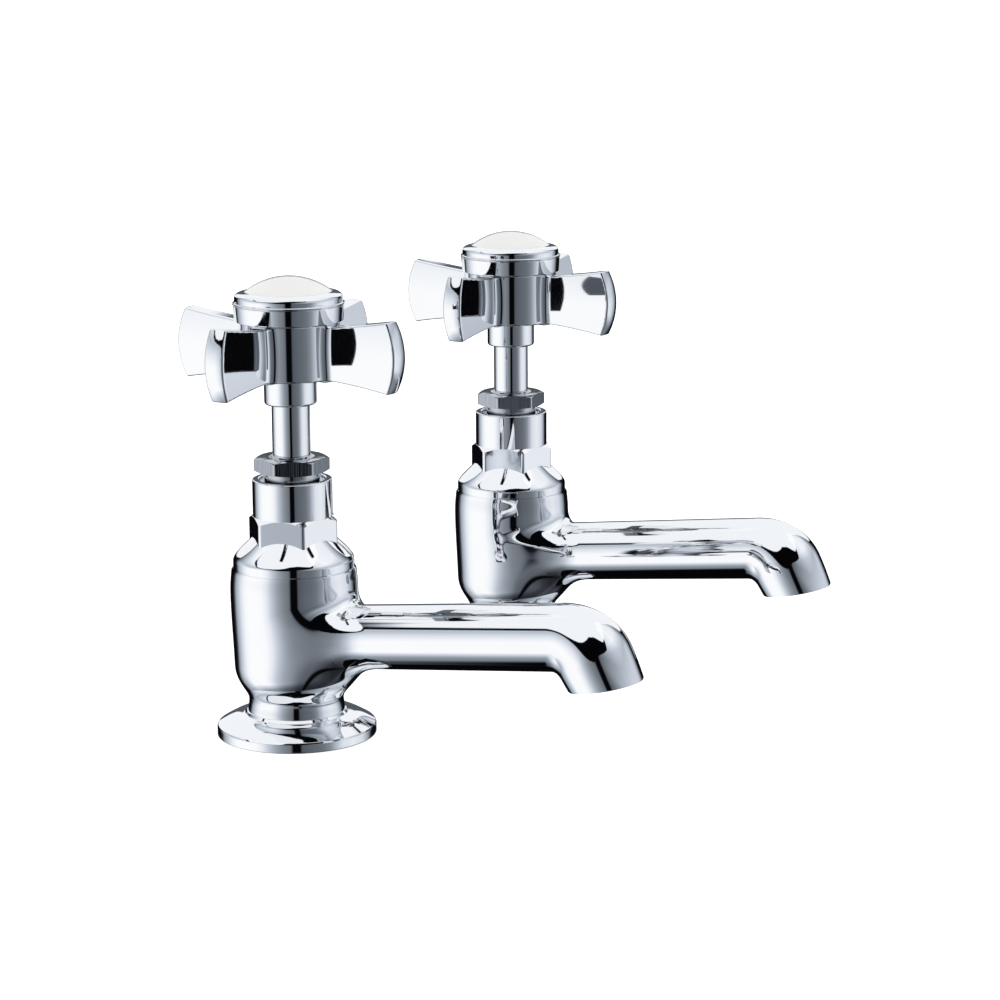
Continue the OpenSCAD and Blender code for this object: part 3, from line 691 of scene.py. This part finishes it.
class TAPS_OT_casting(bpy.types.Operator):
    """Build the body castings: foot, bowl, spout and nozzle in one skin"""
    bl_idname = "taps.casting"
    bl_label = "Body castings"

    def execute(self, context):
        tap, spout, _ = sizes(context)
        field, line = casting_field(tap, spout), SpoutLine(spout)
        bm = bmesh.new()
        z, r = bowl_outline(tap)
        rough = [(float(b), float(a)) for a, b in zip(z[20:-20:10], r[20:-20:10])]
        spin(bm, [(0, tap.foot - 3)] + rough + [(0, tap.rim + 3)], closed=False, steps=72)
        # The rough pipe runs past its ends, and is thicker where it joins the bowl
        rings = []
        for s in np.linspace(10, line.total + 7, 60):
            place, along = line.at(float(s))
            turn = along.to_track_quat("Z", "X").to_matrix().to_4x4()
            swell = 3.0 * max(0, 1 - abs(s - 24) / 10)
            rings.append(bmesh.ops.create_circle(
                bm, segments=48, radius=float(spout_radius(spout, line, s)) + swell,
                matrix=Matrix.Translation(place) @ turn)["verts"])
        join_rings(bm, rings)
        bm.faces.new(rings[0][::-1])
        bm.faces.new(rings[-1])
        bmesh.ops.recalc_face_normals(bm, faces=bm.faces)

        # Both the rim and the outlet are rounded by lip
        lip, rim, foot = 0.8, UP * tap.rim, UP * tap.foot
        mouth, along = line.at(line.total)[0], line.out
        skin = cast_skin(bm, field, 0.6, [(rim - UP * lip, UP), (foot, -UP),
                                          (mouth - along * lip, along)])
        for face in bm.faces:
            face[skin] = 1
        bm.verts.index_update()

        # The rim and, inside it, the washer's seat, the bore, the valve chamber and its seat
        low, edge = tap.rim - lip, float(np.interp(tap.rim - lip, z, r))
        valve = [(low + lip * math.sin(a), edge - lip * (1 - math.cos(a)))
                 for a in np.radians((22, 45, 68, 90))]
        washer, thread, chamber, ledge, seat, bore = 15.45, 10.05, 14.2, 8.6, 6.0, 6.5
        valve += [(tap.rim, washer), (tap.rim - 1.2, washer), (tap.rim - 1.2, thread),
                  (44.0, thread), (44.0, chamber), (21.8, chamber), (21.8, ledge), (25.0, ledge),
                  (25.0, seat), (19.8, seat), (19.8, bore), (tap.foot + 0.4, bore)]
        inner = draw_in(bm, open_loop(bm, rim - UP * lip, UP), rim,
                        [(UP * height, UP, radius) for height, radius in valve])
        outer = draw_in(bm, open_loop(bm, foot, UP), foot, [(foot, UP, bore)])
        bmesh.ops.bridge_loops(bm, edges=inner + outer)

        # The lip of the nozzle, its opening and the waterway back towards the chamber
        loop = open_loop(bm, mouth - along * lip, along)
        fore = along.cross(BESIDE).normalized()
        ends = [(v.co - mouth).dot(fore) for e in loop for v in e.verts]
        wide, deep = max(v.co.x for e in loop for v in e.verts), (max(ends) - min(ends)) / 2
        middle = mouth + fore * (max(ends) + min(ends)) / 2
        rings = []
        for turn in np.radians((25, 50, 72, 90)):
            drawn = lip * (1 - math.cos(turn))
            rings.append((middle - along * lip * (1 - math.sin(turn)), along,
                          (wide - drawn, deep - drawn)))
        opening, waterway = 8.0, 6.4
        rings += [(middle, along, (wide - lip - 0.15, deep - lip - 0.15))]
        rings += [(mouth - along * depth, along, radius) for depth, radius in (
            (0, opening + 0.5), (0.08, opening + 0.2), (0.35, opening), (5, opening),
            (5, waterway))]
        rings += [(*line.at(float(s)), waterway) for s in np.linspace(line.total - 7, 16, 30)]
        last = draw_in(bm, loop, mouth, rings)
        bmesh.ops.holes_fill(bm, edges=last, sides=0)
        bmesh.ops.recalc_face_normals(bm, faces=bm.faces)
        pair_of(context, bm, "body_casting", "root", "body", field=field)
        return {"FINISHED"}


class TAPS_OT_tail(bpy.types.Operator):
    """Build the screwed brass tails with their backnuts"""
    bl_idname = "taps.tail"
    bl_label = "Tails and backnuts"

    def execute(self, context):
        tap, _, _ = sizes(context)
        # A G1/2 thread has 14 turns to the inch, 1.814 mm apart. Its first turns are tapered.
        end, root, bore, shank, foot = -49.98, 9.35, 6.5, 10.9, 11.5
        bm = screw_thread(root, 10.46, 1.814, end, -16)
        for v in bm.verts:
            limit = root + max(v.co.z - end, 0) * 1.2
            radius = math.hypot(v.co.x, v.co.y)
            if radius > limit:
                v.co.x *= limit / radius
                v.co.y *= limit / radius
        take_in(bm, turned(rounded([
            (bore, end - 0.01), (root + 0.01, end - 0.01), (root + 0.01, -15.6),
            (shank, -15.0, 0.2), (shank, 0.3), (foot, 0.3, 0.2), (foot, tap.foot - 0.01),
            (bore, tap.foot - 0.01)]), steps=96))
        pair_of(context, bm, "tail_thread", "root", "body", "brass")
        nut = hexagon_nut(29.9, -23.5, -17.0, 9.95, 0, (1.0, 1.0), corner=0.6)
        pair_of(context, nut, "deck_backnut", "root", "backnut", "brass")
        return {"FINISHED"}


class TAPS_OT_bonnet(bpy.types.Operator):
    """Build the headwork: bonnet with its hexagon and barrel, and the gland nut"""
    bl_idname = "taps.bonnet"
    bl_label = "Headwork"

    def execute(self, context):
        tap, _, _ = sizes(context)
        rim, top = tap.rim, tap.barrel
        ring, barrel, recess, gland = 18.85, 12.4, 10.3, 8.55
        spigot, thread, bore = 10.0, 7.08, 5.98
        roof, lift_stop, packing = 44.0, 66.8, 69.0
        skirt = curve((ring, rim + 2.6), (0, 1.2), (barrel, rim + 10.0), (4.3, -4.0), 30)
        pair_of(context, turned(rounded(
            [(bore, lift_stop), (thread, lift_stop), (thread, roof), (spigot, roof, 0.4),
             (spigot, rim + 0.02), (ring, rim + 0.02, 0.5), (ring, rim + 2.2)] + skirt
            + [(barrel, top, 0.4), (recess, top, 0.5), (recess, top - 2.5),
               (gland, top - 2.5, 0.1), (gland, packing), (bore, packing)])),
            "headwork", "root", "bonnet")
        pair_of(context, hexagon_nut(25, rim + 6.4, rim + 16.6, 11.9, math.radians(47),
                                     (0, 1.4), corner=1.2), "headwork_hexagon", "root", "bonnet")
        low, high = top + 2.2, top + 6.9
        pair_of(context, hexagon_nut(20.5, low, high, bore, math.radians(6.5), (0.5, 0.9),
                                     corner=0.8, sink=1.1),
                "gland_hexagon", "root", "gland_nut", "satin_chrome")
        shank = [(bore, 75.0), (gland - 0.05, 75.0), (gland - 0.05, low + 0.3), (bore, low + 0.3)]
        pair_of(context, turned(rounded(shank)), "gland_shank", "root", "gland_nut",
                "satin_chrome")
        return {"FINISHED"}


class TAPS_OT_spindle(bpy.types.Operator):
    """Build the rising spindles with their lifting threads"""
    bl_idname = "taps.spindle"
    bl_label = "Spindles"

    def execute(self, context):
        tap, _, _ = sizes(context)
        foot, stem, square, socket, screw = 5.6, 5.9, 3.7, 3.08, 2.45
        bm = turned(rounded([
            (socket, 31.7), (foot, 31.7, 0.3), (foot, 60.2), (stem, 60.4), (stem, tap.boss + 5.0),
            (square, tap.boss + 5.0), (square, tap.hub + 6.9), (screw, tap.hub + 6.9),
            (screw, 60), (socket, 60)]))
        take_in(bm, screw_thread(5.62, 6.95, 2.4, 41.3, 60.1))
        pair_of(context, bm, "rising_stem", "handle_set", "spindle")
        return {"FINISHED"}


HUB_BORE = 13.6


def arm_outline(tap, handle, inset):
    """Outline of one arm in its own plane, drawn in by inset, as an array of (out, up)."""
    low, high = tap.hub - 2.6, tap.hub + 19.3
    rise = handle.reach - handle.corner
    half = (high - low) / 2
    radius = (half * half + rise * rise) / (2 * rise)
    spread, drawn = math.asin(half / radius), radius - inset
    tip = [(handle.reach - radius + drawn * math.cos(a), (high + low) / 2 + drawn * math.sin(a))
           for a in np.linspace(-spread, spread, 41)]
    root_low, root_high = tap.hub + 0.35, tap.hub + 16.25
    corner = handle.corner - inset * 0.6
    under = curve((10, root_low + inset), (8, 0.1), (corner, low + inset), (-6, 1.15), 14)
    above = curve((corner, high - inset), (-6, -0.9), (10, root_high - inset), (8, 0.2), 14)
    tip = [p for p in tip if low + inset <= p[1] <= high - inset]
    return np.array(under + tip + above)


def polygon_field(outline):
    """Signed distance, in the plane, to a closed polygon."""
    sides = list(zip(outline, np.roll(outline, -1, axis=0)))

    def field(q):
        best = np.full(len(q), 1e9)
        inside = np.zeros(len(q), bool)
        for (ax, ay), (bx, by) in sides:
            ex, ey = bx - ax, by - ay
            size = ex * ex + ey * ey
            if size < 1e-12:
                continue
            wx, wy = q[:, 0] - ax, q[:, 1] - ay
            t = np.clip((wx * ex + wy * ey) / size, 0, 1)
            best = np.minimum(best, (wx - ex * t) ** 2 + (wy - ey * t) ** 2)
            crosses = (ay > q[:, 1]) != (by > q[:, 1])
            if ey:
                inside ^= crosses & (q[:, 0] < ax + ex * (q[:, 1] - ay) / ey)
        return np.sqrt(best) * np.where(inside, -1, 1)
    return field


def meet(a, b, soft):
    """Field of what lies within two fields, with its edges rounded."""
    return (np.minimum(np.maximum(a, b), 0) + np.hypot(np.maximum(a, 0), np.maximum(b, 0))
            - soft)


def handle_field(tap, handle):
    """Field of the hub and its four arms."""
    soft, edge, middle = 0.55, 0.6, tap.hub + 8.35
    flat = polygon_field(arm_outline(tap, handle, soft))
    low, high = tap.hub, tap.collar + 0.1

    def field(p):
        radius = np.hypot(p[:, 0], p[:, 1])
        out_x, out_y = np.abs(p[:, 0]), np.abs(p[:, 1])
        along, beside = np.maximum(out_x, out_y), np.minimum(out_x, out_y)
        # The tips are rounded across, and the arms' faces swell towards their middle
        near_tip = np.clip((along - 26) / 12, 0, 1)
        bulge = 0.5 * (beside / (handle.thickness / 2)) ** 2 * near_tip ** 2
        face = flat(np.column_stack((along + bulge, p[:, 2])))
        swell = handle.belly * ((p[:, 2] - middle) / 10.9) ** 2
        side = beside - (handle.thickness / 2 - swell - soft)
        ends = np.maximum(low + edge - p[:, 2], p[:, 2] - (high - edge))
        hub = meet(radius - (handle.hub - edge), ends, edge)
        joined = soft_min(hub, meet(face, side, soft), handle.blend)
        return np.maximum(joined, HUB_BORE - radius)
    return field


class TAPS_OT_handle(bpy.types.Operator):
    """Build the cross handles"""
    bl_idname = "taps.handle"
    bl_label = "Cross handles"

    def execute(self, context):
        tap, _, handle = sizes(context)
        field = handle_field(tap, handle)
        bm = bmesh.new()
        low, high = tap.hub, tap.collar + 0.1
        spin(bm, [(HUB_BORE, low), (handle.hub, low), (handle.hub, high), (HUB_BORE, high)],
             steps=72)
        outline = arm_outline(tap, handle, 0)
        half, root = handle.thickness / 2, 14.2
        for quarter in range(4):
            turn = Matrix.Rotation(quarter * math.pi / 2, 4, "Z")
            verts = [bm.verts.new(turn @ Vector((max(x, root), -half, z))) for x, z in outline]
            face = bm.faces.new(verts)
            made = bmesh.ops.extrude_face_region(bm, geom=[face])["geom"]
            top = [g for g in made if isinstance(g, bmesh.types.BMVert)]
            bmesh.ops.translate(bm, verts=top, vec=turn.to_3x3() @ Vector((0, 2 * half, 0)))
        bmesh.ops.recalc_face_normals(bm, faces=bm.faces)
        skin = cast_skin(bm, field, 0.42, [], evening=2)
        for face in bm.faces:
            face[skin] = 1 if math.hypot(*face.calc_center_median()[:2]) > root else 0
        pair_of(context, bm, "cross_arms", "handle_set", "cross_handle", field=field)

        # Boss, the hub's underside, collar and the hollow under the cap, turned in one piece
        stem, boss, wall, cup, square = 5.95, 8.1, 14.6, 13.0, 3.75
        pair_of(context, turned(rounded(
            [(stem, tap.boss, 0.2), (boss, tap.boss, 0.9), (boss, low - 0.04, 0.35),
             (wall, low - 0.04), (wall, tap.collar), (16.75, tap.collar, 0.2),
             (17.05, tap.hub_top, 0.2), (cup, tap.hub_top, 0.1), (cup, low + 7.5),
             (square, low + 7.5), (square, tap.boss + 5.1), (stem, tap.boss + 5.1)], steps=5)),
            "handle_collar", "handle_set", "cross_handle")
        return {"FINISHED"}


class TAPS_OT_cap(bpy.types.Operator):
    """Build the caps and the porcelain indices"""
    bl_idname = "taps.cap"
    bl_label = "Caps and indices"

    def execute(self, context):
        tap, _, _ = sizes(context)
        base, top = tap.hub_top, tap.cap_top
        groove, button_base, plug, inner, lip = base - 3.25, top - 1.6, 12.95, 10.65, 17.2
        shoulder = curve((16.65, top - 2.1), (0, 1.5), (13.5, top + 0.05), (2.1, -0.3), 18)
        pair_of(context, turned(rounded(
            [(inner, base - 6.5), (plug, base - 6.5, 0.2), (plug, groove - 0.8),
             (11.45, groove - 0.8), (11.45, groove + 0.8), (plug, groove + 0.8),
             (plug, base + 0.02), (lip, base + 0.02, 0.2), (lip, base + 0.7, 0.22),
             (16.6, base + 0.7, 0.12)] + shoulder
            + [(13.45, top - 0.05), (13.45, button_base), (inner, button_base)], steps=5)),
            "bright_cap", "handle_set", "cap")

        radius, rise = 13.4, 4.7
        dome = (radius * radius + rise * rise) / (2 * rise)
        half = math.asin(radius / dome)
        centre = top + rise - dome
        arc = [(dome * math.sin(a), centre + dome * math.cos(a))
               for a in np.linspace(half, 0, 40)]
        bm = bmesh.new()
        spin(bm, [(0, button_base), (radius, button_base)] + arc, closed=False)
        pair_of(context, bm, "porcelain_button", "handle_set", "index", "white_porcelain")
        return {"FINISHED"}


def stops(ramp, table):
    """Fills a colour ramp from (position, value) pairs, or (position, colour)."""
    ramp.interpolation = "LINEAR"
    while len(ramp.elements) > 1:
        ramp.elements.remove(ramp.elements[-1])
    for i, (position, value) in enumerate(table):
        element = ramp.elements[0] if i == 0 else ramp.elements.new(position)
        element.position = position
        element.color = tuple(value) if isinstance(value, tuple) else (value, value, value, 1)


def shade(value):
    """Linear light of a display brightness from 0 to 99 and over."""
    return (value / 99) ** 2.2


class TAPS_OT_stage(bpy.types.Operator):
    """Build the white studio, the floor and the camera"""
    bl_idname = "taps.stage"
    bl_label = "Stage"

    # Brightness of the upright reflectors round the taps, by angle from the camera's side.
    # Positive angles are to the right. The camera stands in the dark gap between them.
    panels = [(-180, 8), (-162, 5), (-144, 5), (-136, 24), (-129, 62), (-120, 77), (-110, 90),
              (-100, 97), (-90, 99), (-70, 99), (-60, 98), (-50, 92), (-40, 78), (-30, 64),
              (-20, 53), (-10, 46), (-7.5, 40), (-5.5, 3), (5.5, 3), (8, 34), (20, 39),
              (30, 41), (40, 45), (50, 55), (60, 74), (70, 88), (90, 92), (110, 86), (125, 62),
              (135, 14), (146, 5)]
    # The same for what stands lower, below the taps' own level
    lower = [(-180, 4), (-152, 4), (-144, 10), (-138, 56), (-130, 66), (-120, 76),
             (-110, 88), (-100, 98), (-90, 98), (-70, 99), (-60, 98), (-50, 90), (-40, 76),
             (-30, 66), (-20, 58), (-10, 48), (-3, 40), (5, 36), (8, 5), (13, 5), (16, 34),
             (30, 38), (40, 38), (50, 40), (60, 44), (70, 58), (90, 50), (110, 51), (120, 46),
             (132, 28), (142, 6)]
    # And for what stands higher, where the light of the ceiling spills on the reflectors
    upper = [(-180, 8), (-146, 8), (-138, 34), (-130, 76), (-120, 93), (-110, 98), (-60, 98),
             (-50, 92), (-40, 80), (-30, 66), (-20, 56), (-10, 48), (-7.5, 40), (-5.5, 3),
             (5.5, 3), (8, 45), (20, 62), (30, 72), (40, 80), (60, 92), (80, 97), (118, 94),
             (128, 74), (137, 22), (148, 6)]
    # Height in degrees at which the reflectors end, and at which the white ceiling starts
    panel_top = [(-180, -13), (-171, -13), (-164, -4), (-150, 6), (-138, 14), (-128, 40),
                 (-118, 70), (-104, 42), (-90, 36), (-80, 27), (-70, 24), (-60, 22.5), (-50, 21),
                 (-40, 17), (-30, 12), (-20, 9), (-10, 9), (0, 16), (10, 24), (30, 30), (40, 34),
                 (50, 50), (60, 70), (120, 70), (130, 40), (138, 14), (150, 6), (164, -4),
                 (171, -13)]
    ceiling = [(-180, 16), (-171, 15), (-166, -2), (-150, 8), (-138, 18), (-128, 42), (-118, 60),
               (-104, 46), (-90, 41), (-80, 32), (-70, 28.5), (-60, 28), (-50, 30), (-40, 33),
               (-30, 38), (-20, 46), (-10, 55), (10, 58), (20, 56), (30, 52), (40, 48), (50, 52),
               (70, 60), (120, 60), (130, 42), (138, 18), (150, 8), (166, -2), (171, 15)]
    # Height at which the reflectors end below. The rest is the dark deck under the spouts
    panel_foot = [(-180, -64), (-35, -64), (-5, -89), (60, -89), (100, -66)]
    # Share of a reflector's light by height in degrees
    fall = [(-65, 44), (-54, 61), (-46, 84), (-39, 99), (-8, 99), (0, 95), (8, 90), (15, 83),
            (21, 75), (30, 85), (42, 98)]

    def execute(self, context):
        scene = context.scene
        scene.view_settings.view_transform = "Standard"
        scene.world = bpy.data.worlds.new("White studio")
        scene.world.use_nodes = True
        tree = scene.world.node_tree
        tree.nodes.clear()
        camera_side = math.radians(213)
        way = add(tree, "Mapping", {"Vector": add(tree, "TexCoord"),
                                    "Rotation": (0, 0, -camera_side)})
        xyz = add(tree, "SeparateXYZ", {"Vector": way}).outputs
        # The direction's angle round the taps and its height, each from 0 to 1
        turn = add(tree, "Math", {0: xyz["Y"], 1: xyz["X"]}, operation="ARCTAN2")
        turn = add(tree, "MapRange", {"Value": turn, "From Min": -math.pi, "From Max": math.pi})
        height = add(tree, "Math", {0: xyz["Z"]}, operation="ARCSINE")
        height = add(tree, "MapRange", {"Value": height, "From Min": -math.pi / 2,
                                        "From Max": math.pi / 2})

        # What each table gives by angle, or by height for fall. The edges come with half their
        # softness in degrees, which is negative where what lies below the edge counts.
        edges = {"panel_top": -0.7, "panel_foot": 2.0, "ceiling": 0.7}
        found = {}
        for key in ("lower", "panels", "upper", "fall", *edges):
            source, span = (height, 90) if key == "fall" else (turn, 180)
            found[key] = add(tree, "ValToRGB", {"Fac": source})
            stops(found[key].color_ramp, [
                ((at + span) / (2 * span), (value + 90) / 180 if key in edges else shade(value))
                for at, value in getattr(self, key)])
        for key, softness in edges.items():
            gap = add(tree, "Math", {0: height, 1: found[key]}, operation="SUBTRACT")
            found[key] = add(tree, "MapRange", {"Value": gap, "From Min": -softness / 180,
                                                "From Max": softness / 180})

        panel = found["lower"]
        for key, low, high in (("panels", -30, -20), ("upper", 2, 14)):
            share = add(tree, "MapRange", {"Value": height, "From Min": (90 + low) / 180,
                                           "From Max": (90 + high) / 180})
            panel = add(tree, "Mix", {0: share, 6: panel, 7: found[key]}, data_type="RGBA")
            panel = panel.outputs[2]
        total = found["fall"]
        for part in (panel, found["panel_top"], found["panel_foot"]):
            total = add(tree, "Math", {0: total, 1: part}, operation="MULTIPLY")
        roof = add(tree, "Math", {0: found["ceiling"], 1: 0.92}, operation="MULTIPLY")
        total = add(tree, "Math", {0: total, 1: roof}, operation="ADD")
        # Far behind the taps the gap is a dull grey wall, not black, down to the deck's edge
        wall = add(tree, "Math", {0: turn, 1: 0.5}, operation="SUBTRACT")
        wall = add(tree, "Math", {0: wall}, operation="ABSOLUTE")
        wall = add(tree, "MapRange", {"Value": wall, "From Min": 165 / 360, "From Max": 170 / 360,
                                      "To Max": shade(35)})
        edge = add(tree, "MapRange", {"Value": height, "From Min": (90 - 24) / 180,
                                      "From Max": (90 - 16) / 180})
        wall = add(tree, "Math", {0: wall, 1: edge}, operation="MULTIPLY")
        total = add(tree, "Math", {0: total, 1: wall}, operation="MAXIMUM")
        # The greys of the studio are a little blue
        cool = add(tree, "ValToRGB", {"Fac": total})
        stops(cool.color_ramp, [(at, linear(code)) for at, code in (
            (0.0, "#050507"), (0.02, "#232529"), (0.1, "#535860"), (0.25, "#81888F"),
            (0.45, "#A9B1BB"), (0.7, "#D2D8E1"), (0.88, "#EEF1F5"), (1.0, "#FFFFFF"))])
        light = add(tree, "Background", {"Color": cool, "Strength": 1.08})
        # What isn't mirrored is lit by an even white, and the camera sees plain white
        path = add(tree, "LightPath").outputs
        for ray, strength in (("Is Diffuse Ray", 0.95), ("Is Camera Ray", 1.0)):
            white = add(tree, "Background", {"Color": (1, 1, 1, 1), "Strength": strength})
            light = add(tree, "MixShader", {0: path[ray], 1: light, 2: white})
        add(tree, "OutputWorld", {"Surface": light})

        # What hangs below the deck isn't mirrored in the plate above it, as the deck hides it
        for side in SIDES:
            for name in ("tail_thread", "deck_backnut"):
                bpy.data.objects[f"{side}_{name}"].visible_glossy = False
            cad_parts[f"{side}_deck_washer"].visible_glossy = False

        # The floor: matt white paper, lit enough to stay white, with a faint contact shadow
        surface("White paper", {"Emission Color": (1, 1, 1, 1), "Emission Strength": 0.6},
                "#F7F7F7", 0.01, (40, 40, 40), (0.9, 0.9))
        bm = bmesh.new()
        bmesh.ops.create_grid(bm, x_segments=1, y_segments=1, size=20)
        mesh = bpy.data.meshes.new("floor")
        bm.to_mesh(mesh)
        bm.free()
        mesh.materials.append(bpy.data.materials["White paper"])
        floor = bpy.data.objects.new("floor", mesh)
        scene.collection.objects.link(floor)
        floor.visible_glossy = False

        right, up, back = ((0.5014, -0.8652, -0.0052), (0.1797, 0.0982, 0.9788),
                           (-0.8464, -0.4917, 0.2047))
        turn = Matrix((right, up, back)).transposed().to_quaternion().to_matrix().to_4x4()
        data = bpy.data.cameras.new("camera")
        data.lens, data.sensor_width, data.clip_end = 102.941, 36, 60
        data.shift_x = -0.0005
        camera = bpy.data.objects.new("camera", data)
        camera.matrix_world = Matrix.Translation((-0.7858, -0.4915, 0.2555)) @ turn
        scene.collection.objects.link(camera)
        scene.camera = camera
        return {"FINISHED"}


OPERATORS = (TAPS_OT_finishes, TAPS_OT_flange, TAPS_OT_casting, TAPS_OT_tail, TAPS_OT_bonnet,
             TAPS_OT_spindle, TAPS_OT_handle, TAPS_OT_cap, TAPS_OT_stage)


class TAPS_PT_panel(bpy.types.Panel):
    """Sizes, finishes and steps of the taps"""
    bl_idname = "TAPS_PT_panel"
    bl_label = "Pillar taps"
    bl_space_type = "VIEW_3D"
    bl_region_type = "UI"
    bl_category = "Taps"

    def draw(self, context):
        for key, group in GROUPS.items():
            box = self.layout.box()
            for name in group.__annotations__:
                box.prop(getattr(context.scene, key), name)
        for operator in OPERATORS:
            self.layout.operator(operator.bl_idname)


def register():
    for made in (*GROUPS.values(), *OPERATORS, TAPS_PT_panel):
        bpy.utils.register_class(made)
    for key, group in GROUPS.items():
        setattr(bpy.types.Scene, key, PointerProperty(type=group))


def unregister():
    for key in GROUPS:
        delattr(bpy.types.Scene, key)
    for made in reversed((*GROUPS.values(), *OPERATORS, TAPS_PT_panel)):
        bpy.utils.unregister_class(made)


def main():
    register()
    for operator in OPERATORS:
        getattr(bpy.ops.taps, operator.bl_idname.split(".")[1])()


if __name__ == "__main__":
    main()
